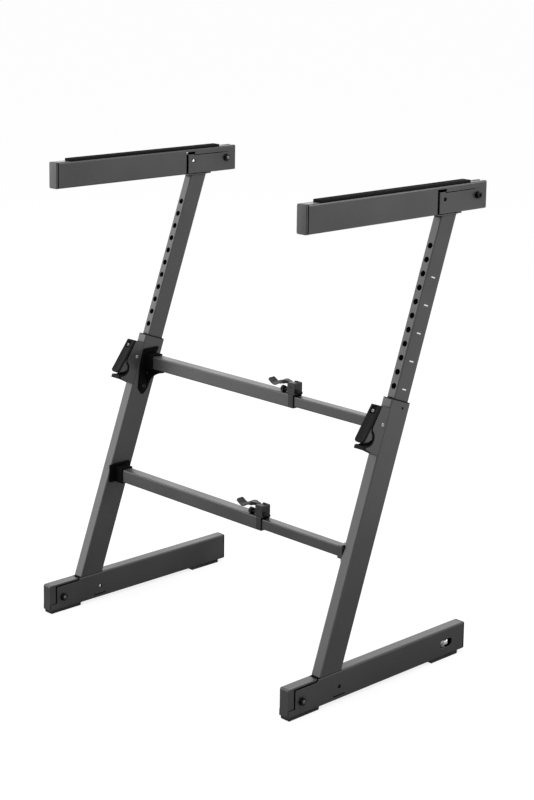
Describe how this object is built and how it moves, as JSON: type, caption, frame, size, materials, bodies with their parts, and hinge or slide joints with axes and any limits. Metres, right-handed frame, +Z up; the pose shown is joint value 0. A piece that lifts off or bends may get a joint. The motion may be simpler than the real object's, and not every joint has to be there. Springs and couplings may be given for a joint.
{
  "type": "z keyboard stand",
  "caption": "Height-adjustable Z-frame keyboard stand with folding feet and arms, telescoping crossbars with clamp levers, and squeeze-lever height locks.",
  "frame": {"origin": "on the floor at the middle of the stand's bounding box", "axes": "+X along the crossbars from the left frame to the right frame, +Y from the arms' free ends to the feet's rear ends, +Z up"},
  "size_m": [0.7516, 0.52, 0.9643],
  "materials": {
    "powder_coat": "fine-textured anthracite powder coat",
    "black_paint": "satin black paint",
    "plated_steel": "bright zinc plate",
    "dark_steel": "black oxide with bright edges",
    "black_plastic": "fine-grained moulded black plastic",
    "rubber": "ribbed black rubber"
  },
  "bodies": {
    "left_lower": {"left_outer_upright": "powder_coat", "left_guide_sleeve": "black_plastic", "left_lock_housing": "powder_coat", "left_finger_rest": "black_plastic", "left_lever_pin": "plated_steel", "left_foot_hinge_bracket": "powder_coat", "left_foot_front_pad": "rubber", "left_foot_pivot_bolt": "dark_steel", "upper_outer_bar": "powder_coat", "lower_outer_bar": "powder_coat", "upper_left_bracket": "black_paint", "lower_left_bracket": "black_paint", "upper_clamp_head": "black_paint", "lower_clamp_head": "black_paint", "upper_clamp_screw": "dark_steel", "lower_clamp_screw": "dark_steel"},
    "right_lower": {"right_outer_upright": "powder_coat", "right_guide_sleeve": "black_plastic", "right_lock_housing": "powder_coat", "right_finger_rest": "black_plastic", "right_lever_pin": "plated_steel", "right_foot_hinge_bracket": "powder_coat", "right_foot_front_pad": "rubber", "right_foot_pivot_bolt": "dark_steel", "upper_inner_bar": "powder_coat", "lower_inner_bar": "powder_coat", "upper_right_bracket": "powder_coat", "lower_right_bracket": "powder_coat"},
    "left_foot": {"left_foot_tube": "powder_coat", "left_foot_rear_cap": "black_plastic", "left_foot_rear_pad": "rubber"},
    "left_upper": {"left_inner_upright": "powder_coat", "left_arm_hinge_bracket": "powder_coat", "left_arm_pivot_bolt": "dark_steel"},
    "left_arm": {"left_arm_tube": "powder_coat", "left_arm_front_cap": "black_plastic", "left_arm_rubber_strip": "rubber"},
    "left_lever": {"left_lock_lever": "powder_coat", "left_hand_pad": "black_plastic"},
    "left_detent": {"left_detent_pin": "plated_steel"},
    "left_foot_button": {"left_foot_lock_button": "plated_steel"},
    "left_arm_button": {"left_arm_lock_button": "plated_steel"},
    "right_foot": {"right_foot_tube": "powder_coat", "right_foot_rear_cap": "black_plastic"},
    "right_upper": {"right_inner_upright": "powder_coat", "right_arm_hinge_bracket": "powder_coat", "right_arm_pivot_bolt": "dark_steel"},
    "right_arm": {"right_arm_tube": "powder_coat", "right_arm_front_cap": "black_plastic", "right_arm_rubber_strip": "rubber"},
    "right_lever": {"right_lock_lever": "powder_coat", "right_hand_pad": "black_plastic"},
    "right_detent": {"right_detent_pin": "plated_steel"},
    "right_foot_button": {"right_foot_lock_button": "plated_steel"},
    "right_arm_button": {"right_arm_lock_button": "plated_steel"},
    "upper_clamp_lever": {"upper_clamp_lever": "black_plastic"},
    "lower_clamp_lever": {"lower_clamp_lever": "black_plastic"},
    "right_levelling_wheel": {"right_levelling_wheel": "plated_steel"},
    "right_levelling_pad": {"right_foot_rear_pad": "rubber"}
  },
  "joints": [
    {"name": "width_slide", "type": "slide", "parent": "left_lower", "child": "right_lower", "axis": [1, 0, 0], "range_m": [-0.16, 0.13]},
    {"name": "left_foot_fold", "type": "hinge", "parent": "left_lower", "child": "left_foot", "pos_m": [-0.356, -0.22552, 0.032], "axis": [-1, 0, 0], "range_deg": [0, 288.2]},
    {"name": "left_height_slide", "type": "slide", "parent": "left_lower", "child": "left_upper", "axis": [0, 0.3374, 0.9414], "range_m": [-0.3294, 0.08235]},
    {"name": "left_arm_fold", "type": "hinge", "parent": "left_upper", "child": "left_arm", "pos_m": [-0.356, 0.23302, 0.9335], "axis": [-1, 0, 0], "range_deg": [0, 289.7]},
    {"name": "left_lever_squeeze", "type": "hinge", "parent": "left_lower", "child": "left_lever", "pos_m": [-0.356, -0.02256, 0.52169], "axis": [1, 0, 0], "range_deg": [0, 6], "stiffness_Nm_per_rad": 1, "springref_deg": -17.19},
    {"name": "left_detent_pull", "type": "slide", "parent": "left_lower", "child": "left_detent", "axis": [0, -0.9414, 0.3374], "range_m": [0, 0.0019]},
    {"name": "left_foot_button_press", "type": "slide", "parent": "left_lower", "child": "left_foot_button", "axis": [-1, 0, 0], "range_m": [0, 0.003], "stiffness_N_per_m": 500, "springref_m": -0.004},
    {"name": "left_arm_button_press", "type": "slide", "parent": "left_upper", "child": "left_arm_button", "axis": [-1, 0, 0], "range_m": [0, 0.003], "stiffness_N_per_m": 500, "springref_m": -0.004},
    {"name": "right_foot_fold", "type": "hinge", "parent": "right_lower", "child": "right_foot", "pos_m": [0.356, -0.22552, 0.032], "axis": [-1, 0, 0], "range_deg": [0, 288.2]},
    {"name": "right_height_slide", "type": "slide", "parent": "right_lower", "child": "right_upper", "axis": [0, 0.3374, 0.9414], "range_m": [-0.3294, 0.08235]},
    {"name": "right_arm_fold", "type": "hinge", "parent": "right_upper", "child": "right_arm", "pos_m": [0.356, 0.23302, 0.9335], "axis": [-1, 0, 0], "range_deg": [0, 289.7]},
    {"name": "right_lever_squeeze", "type": "hinge", "parent": "right_lower", "child": "right_lever", "pos_m": [0.356, -0.02256, 0.52169], "axis": [1, 0, 0], "range_deg": [0, 6], "stiffness_Nm_per_rad": 1, "springref_deg": -17.19},
    {"name": "right_detent_pull", "type": "slide", "parent": "right_lower", "child": "right_detent", "axis": [0, -0.9414, 0.3374], "range_m": [0, 0.0019]},
    {"name": "right_foot_button_press", "type": "slide", "parent": "right_lower", "child": "right_foot_button", "axis": [1, 0, 0], "range_m": [0, 0.003], "stiffness_N_per_m": 500, "springref_m": -0.004},
    {"name": "right_arm_button_press", "type": "slide", "parent": "right_upper", "child": "right_arm_button", "axis": [1, 0, 0], "range_m": [0, 0.003], "stiffness_N_per_m": 500, "springref_m": -0.004},
    {"name": "upper_clamp_open", "type": "hinge", "parent": "left_lower", "child": "upper_clamp_lever", "pos_m": [0.101, 0.01208, 0.5389], "axis": [0, 1, 0], "range_deg": [0, 100]},
    {"name": "lower_clamp_open", "type": "hinge", "parent": "left_lower", "child": "lower_clamp_lever", "pos_m": [0.101, -0.07209, 0.3041], "axis": [0, 1, 0], "range_deg": [0, 100]},
    {"name": "right_levelling_turn", "type": "hinge", "parent": "right_foot", "child": "right_levelling_wheel", "pos_m": [0.356, 0.18428, 0.0325], "axis": [0, 0, 1], "range_deg": [0, 2310]},
    {"name": "right_levelling_drop", "type": "slide", "parent": "right_foot", "child": "right_levelling_pad", "axis": [0, 0, -1], "range_m": [0, 0.008]}
  ],
  "couplings": [
    {"joint": "left_detent_pull", "follows": "left_lever_squeeze", "m_per_rad": 0.0172},
    {"joint": "right_detent_pull", "follows": "right_lever_squeeze", "m_per_rad": 0.0172},
    {"joint": "right_levelling_turn", "follows": "right_levelling_drop", "rad_per_m": 5026.5}
  ]
}
